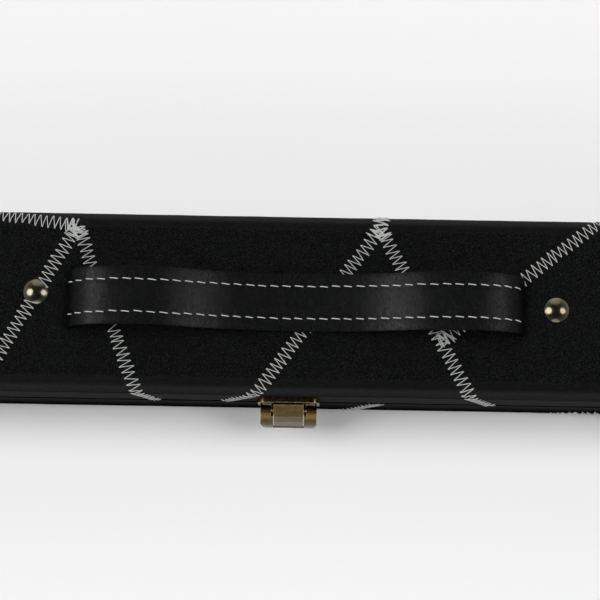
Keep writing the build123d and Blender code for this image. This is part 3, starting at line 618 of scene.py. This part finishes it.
# ---------------------------------------------------------------- the skins and their stitching
def skin_outline(shell):
    """s, (y, z) and normals round the outside of a skin, lip to lip, then the inner side back again."""
    reach = shell.edge - LIP_RADIUS
    flat_s = np.linspace(-reach, reach, round(2 * shell.edge / SKIN_STEP))
    outer, normal = shell.point(flat_s)
    lips = []
    for side in (1, -1):
        turn = np.linspace(0, math.pi / 2, 5)[1:]
        y = side * (HALF_WIDTH - LIP_RADIUS + LIP_RADIUS * np.cos(turn))
        z = shell.open_z + shell.up * (LIP_RADIUS - LIP_RADIUS * np.sin(turn))
        n = np.stack([side * np.cos(turn), -shell.up * np.sin(turn)], -1)
        flat_y = side * np.linspace(HALF_WIDTH - 2 * MM, INSIDE_HALF_WIDTH, 6)
        flat_z = np.full(6, shell.open_z)
        lip = np.concatenate([np.stack([y, z], -1), np.stack([flat_y, flat_z], -1)])
        lip_n = np.concatenate([n, np.tile([0, -shell.up], (6, 1))])
        lips.append((lip, lip_n))
    points = np.concatenate([lips[1][0][::-1], outer, lips[0][0]])
    normals = np.concatenate([lips[1][1][::-1], normal, lips[0][1]])
    back_lip = np.full(len(lips[1][0]), -shell.edge)
    front_lip = np.full(len(lips[0][0]), shell.edge)
    s = np.concatenate([back_lip, flat_s, front_lip])
    coarse = np.concatenate([
        [0, 5, 8],
        np.linspace(10, len(points) - 11, 34).astype(int),
        [len(points) - 9, len(points) - 6, len(points) - 1]])
    inner = points[coarse] - normals[coarse] * SKIN
    corner = HALF_WIDTH - SKIN
    inner[:, 0] = np.clip(inner[:, 0], -corner, corner)
    inner[:, 1] = shell.open_z + shell.up * np.maximum((inner[:, 1] - shell.open_z) * shell.up, SKIN)
    return s, points, normals, inner[::-1]


def cover_skin(shell, seams, name, body, node):
    """A leatherette skin with its padding, sunken seams and puckers in the mesh."""
    s, points, normals, inner = skin_outline(shell)
    end = HALF_LENGTH - 0.2 * MM
    xs = np.linspace(-end, end, round(2 * HALF_LENGTH / SKIN_STEP))
    grid_x, grid_s = np.meshgrid(xs, s, indexing="ij")
    height = skin_height(shell, seams, grid_x, grid_s)
    fade = 1 - smoothstep(shell.edge - 1.5 * MM, shell.edge, np.abs(grid_s))
    height *= fade
    outer = points[None] + normals[None] * height[..., None]
    loop = np.concatenate([outer, np.broadcast_to(inner[None], (len(xs),) + inner.shape)], 1)
    rings = np.concatenate([np.broadcast_to(xs[:, None, None], loop.shape[:2] + (1,)), loop], -1)
    piece = loft(name, rings)
    return finish_piece(piece, body, "leatherette", LEATHERETTE, node)


def end_lips(shell, name, body):
    """The leatherette turned over the end boards, seen when the case is open."""
    bundle = Bundle()
    z0, z1 = sorted((shell.open_z, shell.open_z + shell.up * 0.95 * MM))
    for side in (-1, 1):
        x0, x1 = sorted((side * (HALF_LENGTH - 7.05 * MM), side * (HALF_LENGTH - 0.4 * MM)))
        low = (x0, -INSIDE_HALF_WIDTH, z0)
        high = (x1, INSIDE_HALF_WIDTH, z1)
        bundle.add(rounded_box_rings(low, high, 0.4 * MM))
    return finish_piece(bundle.piece(name), body, "leatherette", LEATHERETTE)


def surface_at(shell, seams, x, s, lift):
    """Points on a skin at (x, s), lifted off it."""
    flat, normal = shell.point(s)
    out = skin_height(shell, seams, x, s) + lift
    place = flat + normal * out[:, None]
    return np.stack([x, place[:, 0], place[:, 1]], -1)


def zigzag(shell, seams, name, body):
    """White zigzag thread over every seam, one short arched tube per stitch."""
    bundle = Bundle()
    share = np.array([0.0, 0.06, 0.18, 0.3, 0.4, 0.5, 0.6, 0.7, 0.82, 0.94, 1.0])
    arch = [-0.55, 0.16, 0.42, 0.48, 0.42, 0.16, -0.55]
    rise = np.interp(share, [0.0, 0.06, 0.3, 0.5, 0.7, 0.94, 1.0], arch) * MM
    for seam in seams:
        for start, end in zigzag_legs(shell, seam):
            line = start + (end - start) * share[:, None]
            x, s = line[:, 0], line[:, 1]
            shown = (clear_of_cap(x, s) > 0.25 * MM) & (np.abs(s) < shell.edge - 0.3 * MM)
            if shown.sum() > 2:
                thread = surface_at(shell, seams, x, s, rise)[shown]
                bundle.add(tube(thread, THREAD))
    return finish_piece(bundle.piece(name), body, "leatherette", WHITE_THREAD)


def zigzag_legs(shell, seam):
    """Both ends, as (x, s), of each leg of a zigzag, sewn over again where a seam stops on a face."""
    a, b = seam_ends(shell, seam)
    length = np.linalg.norm(b - a)
    along = (b - a) / length
    across = np.array([-along[1], along[0]])
    step = ZIGZAG_PITCH / 2
    count = int(length / step)

    def corner(number, loose):
        side = 1 if number % 2 else -1
        wobble = RANDOM.normal(0, loose, 2)
        return a + along * (number * step + wobble[0]) + across * (side * ZIGZAG_WIDTH / 2 + wobble[1])

    corners = [corner(number, 0.28 * MM) for number in range(count + 1)]
    rows = [corners]
    for (_, s), first in zip(seam, (0, count - BACK_TACK)):
        if abs(s) != EDGE:
            knot = range(first, first + BACK_TACK + 1)
            rows += [[corner(number, 0.6 * MM) for number in knot] for _ in range(2)]
    return [pair for row in rows for pair in zip(row[:-1], row[1:])]


# ---------------------------------------------------------------- the strap handle
def strap_line():
    """The strap's centre line in (x, z), from the left tail to the right one, at even spacing."""
    face = LID_HIGH[2]
    tail_z = STRAP_LOW[2] + STRAP_THICKNESS / 2
    bend = 4 * MM
    half = [
        (0, face + 2.2 * MM), (15 * MM, face + 2.8 * MM), (30 * MM, face + 4.6 * MM),
        (45 * MM, face + 7.6 * MM), (58 * MM, face + 11.16 * MM), (72 * MM, face + 14.4 * MM),
        (85 * MM, face + 15.5 * MM), (97 * MM, face + 14.3 * MM), (107 * MM, face + 11.16 * MM),
        (113.5 * MM, face + 6.6 * MM), (116.4 * MM, face + 2.6 * MM), (STRAP_SLOT_X, face - 0.5 * MM),
        (STRAP_SLOT_X, tail_z + bend),
        (STRAP_SLOT_X + bend * 0.29, tail_z + bend * 0.29), (STRAP_SLOT_X + bend, tail_z),
        (STRAP_HIGH[0] - 10 * MM, tail_z), (STRAP_HIGH[0] - 0.3 * MM, tail_z),
    ]
    knots = np.array([(-x, z) for x, z in half[:0:-1]] + half)
    ahead = np.vstack([2 * knots[0] - knots[1], knots, 2 * knots[-1] - knots[-2]])
    pieces = []
    for i in range(1, len(ahead) - 2):
        p0, p1, p2, p3 = ahead[i - 1:i + 3]
        d = [max(np.linalg.norm(b - a), 1e-9) ** 0.5 for a, b in ((p0, p1), (p1, p2), (p2, p3))]
        m1 = (p1 - p0) / d[0] - (p2 - p0) / (d[0] + d[1]) + (p2 - p1) / d[1]
        m2 = (p2 - p1) / d[1] - (p3 - p1) / (d[1] + d[2]) + (p3 - p2) / d[2]
        t = np.linspace(0, 1, 24, endpoint=False)[:, None]
        h = (2 * t**3 - 3 * t**2 + 1, t**3 - 2 * t**2 + t, -2 * t**3 + 3 * t**2, t**3 - t**2)
        pieces.append(h[0] * p1 + h[1] * m1 * d[1] + h[2] * p2 + h[3] * m2 * d[1])
    line = np.concatenate(pieces + [knots[-1:]])
    run = np.concatenate([[0], np.cumsum(np.linalg.norm(np.diff(line, axis=0), axis=1))])
    even = np.linspace(0, run[-1], round(run[-1] / (1.2 * MM)))
    return np.stack([np.interp(even, run, line[:, k]) for k in (0, 1)], -1), even


def strap_section(count=64):
    """Points (across, up) round the strap: rounded edges, a sunk line under each stitch row."""
    w, h = STRAP_HALF_WIDTH, STRAP_THICKNESS / 2
    turn = np.linspace(0, 2 * math.pi, count, endpoint=False)
    across = w * np.clip(1.18 * np.cos(turn), -1, 1)
    up = h * np.sign(np.sin(turn)) * np.minimum(np.abs(np.sin(turn)) * 2.1, 1) ** 0.5
    edge = 1 - smoothstep(0.965, 1.0, np.abs(across) / w) * 0.12
    groove = sum(np.exp(-(((across - side * STITCH_ROW) / (0.9 * MM)) ** 2)) for side in (-1, 1))
    crown = 0.12 * MM * np.cos(across / w * math.pi / 2)
    up = up * edge + np.sign(up) * (crown - 0.33 * MM * groove)
    return across, up


STRAP_LINE, STRAP_RUN = strap_line()


def strap_frame(run):
    """Centre and upward normal of the strap at a distance along it."""
    place = np.stack([np.interp(run, STRAP_RUN, STRAP_LINE[:, k]) for k in (0, 1)], -1)
    slope = np.gradient(STRAP_LINE, STRAP_RUN, axis=0)
    ahead = np.stack([np.interp(run, STRAP_RUN, slope[:, k]) for k in (0, 1)], -1)
    ahead /= np.linalg.norm(ahead, axis=-1, keepdims=True)
    return place, np.stack([-ahead[..., 1], ahead[..., 0]], -1)


def handle_strap():
    """The strap: a padded leather band that sways a little from side to side."""
    across, up = strap_section()
    place, normal = strap_frame(STRAP_RUN)
    sway = 0.08 * MM * np.sin(STRAP_RUN / (37 * MM)) + 0.04 * MM * np.sin(STRAP_RUN / (11 * MM))
    rings = []
    for centre, n, push in zip(place, normal, sway):
        rings.append(np.stack([centre[0] + n[0] * up, across + push, centre[1] + n[1] * up], -1))
    piece = loft("handle_strap_leather", rings)
    return finish_piece(piece, "lid", "strap_leather", STRAP_LEATHER, "handle_strap")


def strap_stitches():
    """Two rows of white running stitches on both faces of the strap."""
    bundle = Bundle()
    visible = np.abs(STRAP_LINE[:, 0]) < STRAP_SLOT_X - 0.2 * MM
    over_face = visible & (STRAP_LINE[:, 1] > LID_HIGH[2] + 1.5 * MM)
    first, last = STRAP_RUN[over_face][[0, -1]]
    share = np.linspace(0, 1, 9)
    lift = np.array([-0.5, 0.10, 0.26, 0.32, 0.34, 0.32, 0.26, 0.10, -0.5]) * MM
    for row in (-STITCH_ROW, STITCH_ROW):
        run = first
        while run + STITCH_LENGTH < last:
            jog = RANDOM.normal(0, 0.11 * MM, 3)
            at = run + jog[0] + share * (STITCH_LENGTH + jog[1])
            place, normal = strap_frame(at)
            for face in (1, -1):
                out = face * (STRAP_THICKNESS / 2 - 0.22 * MM + lift)
                y = row + jog[2] + (share - 0.5) * STITCH_SLANT
                x, z = (place + normal * out[:, None]).T
                bundle.add(tube(np.stack([x, y, z], -1), STITCH_RADIUS, 8))
            run += STITCH_PITCH
    return finish_piece(bundle.piece("strap_stitches"), "lid", "strap_leather", STRAP_THREAD)


# ---------------------------------------------------------------- the interior
def lining(low, high, open_z, closed_z, name, body, node):
    """A velvet lining: a trough with soft corners and a wall at each end."""
    up = 1 if open_z > closed_z else -1
    w = high[1]
    thick = 1.0 * MM
    corner = 3.0 * MM
    turn = np.linspace(0, math.pi / 2, 7)
    depth = abs(open_z - closed_z)
    inner = [(-w + thick, depth - 0.3 * MM), (-w + thick, depth * 0.5)]
    bend = [(thick + corner * (1 - math.cos(t)), thick + corner * (1 - math.sin(t))) for t in turn]
    inner += [(-w + inset, height) for inset, height in bend]
    inner += [(y, thick) for y in np.linspace(-w + 2 * corner, w - 2 * corner, 30)]
    inner += [(w - inset, height) for inset, height in bend[::-1]]
    inner += [(w - thick, depth * 0.5), (w - thick, depth - 0.3 * MM)]
    outer = [(w - 0.05 * MM, depth - 0.3 * MM), (w - 0.05 * MM, 0.05 * MM)]
    outer += [(-w + 0.05 * MM, 0.05 * MM), (-w + 0.05 * MM, depth - 0.3 * MM)]
    outline = np.array(inner + outer)
    xs = np.linspace(low[0] + 0.1 * MM, high[0] - 0.1 * MM, 240)
    rings = np.empty((len(xs), len(outline), 3))
    rings[:, :, 0] = xs[:, None]
    rings[:, :, 1] = outline[None, :, 0]
    rings[:, :, 2] = closed_z + up * outline[None, :, 1]
    soft = np.zeros(len(outline))
    soft[2:len(inner) - 2] = 1
    rings[:, :, 2] += up * soft[None] * 0.12 * MM * ripple(rings[:, :, 0], rings[:, :, 1], 9)
    bundle = Bundle()
    bundle.add(rings)
    for side in (-1, 1):
        x0, x1 = sorted((side * (high[0] - 0.1 * MM), side * (high[0] - thick)))
        z0, z1 = sorted((closed_z + up * 0.9 * MM, open_z - up * 0.3 * MM))
        bundle.add(rounded_box_rings((x0, -w + 0.9 * MM, z0), (x1, w - 0.9 * MM, z1), 0.3 * MM))
    return finish_piece(bundle.piece(name), body, "velvet", LINING_VELVET, node)


def cradles():
    """Velvet-covered foam blocks with two soft U-shaped channels."""
    radius = CHANNEL_RADIUS
    low, high = CRADLE_LOW[2], CRADLE_HIGH[2]
    w = CRADLE_HIGH[1] - 0.3 * MM
    soft = 1.8 * MM
    turn = np.linspace(0, math.pi / 2, 5)
    outline = [(-w, low + 0.05 * MM)]
    outline += [(-w + soft * (1 - math.cos(t)), high - soft * (1 - math.sin(t))) for t in turn]
    for centre in (-CHANNEL_Y, CHANNEL_Y):
        outline.append((centre - radius - 0.5 * MM, high))
        outline.append((centre - radius + 0.05 * MM, high - 0.6 * MM))
        for t in np.linspace(0, math.pi, 19):
            outline.append((centre - radius * math.cos(t), CHANNEL_Z - radius * math.sin(t)))
        outline.append((centre + radius - 0.05 * MM, high - 0.6 * MM))
        outline.append((centre + radius + 0.5 * MM, high))
    outline += [(w - soft * (1 - math.cos(t)), high - soft * (1 - math.sin(t))) for t in turn[::-1]]
    outline.append((w, low + 0.05 * MM))
    outline = np.array(outline)[::-1]
    ahead = np.roll(outline, -1, 0) - np.roll(outline, 1, 0)
    normal = np.stack([ahead[:, 1], -ahead[:, 0]], -1)
    normal /= np.linalg.norm(normal, axis=1)[:, None]
    bundle = Bundle()
    for station in CRADLE_X:
        rings = []
        ends = [(-1, t) for t in turn] + [(1, t) for t in turn[::-1]]
        for side, t in ends:
            x = station + side * (CRADLE_LENGTH / 2 - soft * (1 - math.cos(t)))
            inset = soft * (1 - math.sin(t)) * 0.7
            flat = outline - normal * inset
            rings.append(np.column_stack([np.full(len(flat), x), flat]))
        bundle.add(rings)
    piece = bundle.piece("velvet_cue_cradles")
    return finish_piece(piece, "base", "pad_velvet", PAD_VELVET, "cue_cradles")


def lid_pad():
    """The lid's foam pad, plumped by a short cloth simulation under its velvet."""
    inset = 2.4 * MM
    low = np.array(PAD_LOW) + inset
    high = np.array(PAD_HIGH) - np.array([inset, inset, 0.6 * MM])
    piece = new_mesh("velvet_lid_pad", *box_mesh(low, high))
    plump(piece, high[2])
    return finish_piece(piece, "lid", "pad_velvet", PAD_VELVET, "lid_pad")


def box_mesh(low, high):
    pairs = list(zip(low, high))
    corners = [(x, y, z) for x in pairs[0] for y in pairs[1] for z in pairs[2]]
    faces = [(0, 1, 3, 2), (4, 6, 7, 5), (0, 4, 5, 1), (2, 3, 7, 6), (0, 2, 6, 4), (1, 5, 7, 3)]
    return corners, faces


def plump(piece, glued_z):
    """Swell a pad with cloth pressure, holding the side that is glued to the lid."""
    bpy.context.view_layer.objects.active = piece
    piece.select_set(True)
    remesh = piece.modifiers.new("voxels", "REMESH")
    remesh.mode = "VOXEL"
    remesh.voxel_size = PAD_VOXEL
    bpy.ops.object.modifier_apply(modifier=remesh.name)
    rest = np.array([v.co for v in piece.data.vertices])
    glued = piece.vertex_groups.new(name="glued")
    glued.add([i for i, v in enumerate(rest) if v[2] > glued_z - 2 * MM], 1.0, "REPLACE")
    cloth = piece.modifiers.new("cloth", "CLOTH")
    cloth.settings.use_pressure = True
    cloth.settings.uniform_pressure_force = PAD_PRESSURE
    cloth.settings.vertex_group_mass = "glued"
    cloth.settings.effector_weights.gravity = 0.0
    cloth.settings.tension_stiffness = 20
    cloth.settings.compression_stiffness = 20
    cloth.point_cache.frame_start = 1
    cloth.point_cache.frame_end = PAD_FRAMES
    scene = bpy.context.scene
    for number in range(1, PAD_FRAMES + 1):
        scene.frame_set(number)
    shaped = piece.evaluated_get(bpy.context.evaluated_depsgraph_get())
    moved = np.array([v.co for v in shaped.data.vertices])
    piece.modifiers.remove(cloth)
    scene.frame_set(1)
    shift = moved - rest
    far = np.linalg.norm(shift, axis=1)
    shift *= np.minimum(1, PAD_SWELL / np.maximum(far, 1e-9))[:, None]
    piece.data.vertices.foreach_set("co", (rest + shift).ravel())
    piece.data.update()
    smooth = piece.modifiers.new("smooth", "SUBSURF")
    smooth.levels = 1
    smooth.render_levels = 1
    bpy.ops.object.modifier_apply(modifier=smooth.name)
    piece.data.polygons.foreach_set("use_smooth", [True] * len(piece.data.polygons))


# ---------------------------------------------------------------- the stage
def soft_sun(name, azimuth, elevation, spread, strength):
    """A wide, soft light from far off, seen from the floor at an azimuth and an elevation in degrees."""
    light = bpy.data.lights.new(name, "SUN")
    light.angle = math.radians(spread)
    light.energy = strength
    lamp = bpy.data.objects.new(name, light)
    bpy.context.scene.collection.objects.link(lamp)
    around, up = math.radians(azimuth), math.radians(elevation)
    place = Vector((math.sin(around) * math.cos(up), -math.cos(around) * math.cos(up), math.sin(up)))
    lamp.location = place * 2
    lamp.rotation_euler = place.to_track_quat("Z", "Y").to_euler()


def stage():
    """A plain pale floor and soft studio light from both sides and above."""
    size = 6.0
    floor = new_mesh("floor", [(-size, -size, 0), (size, -size, 0), (size, size, 0), (-size, size, 0)],
                     [(0, 1, 2, 3)], smooth=False)
    floor.location.z = CAP_LOW[2]
    paint(floor, pale_floor())
    soft_sun("left_light", -97, 50, 34, 1.80)
    soft_sun("right_light", 96, 50, 30, 1.05)
    soft_sun("front_light", 0, 20, 50, 0.80)
    soft_sun("back_light", 180, 25, 50, 0.45)
    bpy.context.scene.world = studio_air()
    bpy.context.scene.view_settings.view_transform = "Standard"


def studio_air():
    """A pale horizon that fades to a dim ceiling, so that dark faces seen from above stay dark."""
    world = bpy.data.worlds.new("studio")
    world.use_nodes = True
    tree = world.node_tree
    background = tree.nodes["Background"]
    place = tree.nodes.new("ShaderNodeTexCoord")
    height = tree.nodes.new("ShaderNodeSeparateXYZ")
    shade = tree.nodes.new("ShaderNodeValToRGB")
    bands = shade.color_ramp.elements
    while len(bands) < len(SKY):
        bands.new(0.5)
    for band, (up, grey) in zip(bands, SKY):
        band.position = up
        band.color = (grey, grey, grey, 1)
    tree.links.new(place.outputs["Generated"], height.inputs[0])
    tree.links.new(height.outputs[2], shade.inputs[0])
    tree.links.new(shade.outputs[0], background.inputs["Color"])
    return world


def camera():
    """A long lens, nearly overhead and a little to the latch side, on the middle of the case."""
    elevation = math.radians(79)
    roll = math.radians(1.0)
    lens = 110.0
    sensor = 36.0
    view_width = 311 * MM
    distance = view_width * lens / sensor
    target = Vector((2 * MM, 2 * MM, LID_HIGH[2]))
    eye = target + distance * Vector((0, -math.cos(elevation), math.sin(elevation)))
    data = bpy.data.cameras.new("camera")
    data.lens = lens
    data.sensor_width = sensor
    data.clip_start = 0.01
    body = bpy.data.objects.new("camera", data)
    bpy.context.scene.collection.objects.link(body)
    body.location = eye
    look = (target - eye).to_track_quat("-Z", "Y")
    body.rotation_euler = (look.to_matrix() @ Matrix.Rotation(roll, 3, "Z")).to_euler()
    bpy.context.scene.camera = body


paint_cad_nodes()
cover_skin(LID, LID_SEAMS, "lid_leatherette", "lid", "lid_cover")
cover_skin(BASE, BASE_SEAMS, "base_leatherette", "base", "base_cover")
end_lips(LID, "lid_end_turnover", "lid")
end_lips(BASE, "base_end_turnover", "base")
zigzag(LID, LID_SEAMS, "lid_zigzag_stitching", "lid")
zigzag(BASE, BASE_SEAMS, "base_zigzag_stitching", "base")
handle_strap()
strap_stitches()
lining(LINING_LOW, LINING_HIGH, LINING_HIGH[2], LINING_LOW[2],
       "base_velvet_lining", "base", "base_lining")
lining(LID_LINING_LOW, LID_LINING_HIGH, LID_LINING_LOW[2], LID_LINING_HIGH[2],
       "lid_velvet_lining", "lid", "lid_lining")
cradles()
lid_pad()
stage()
camera()
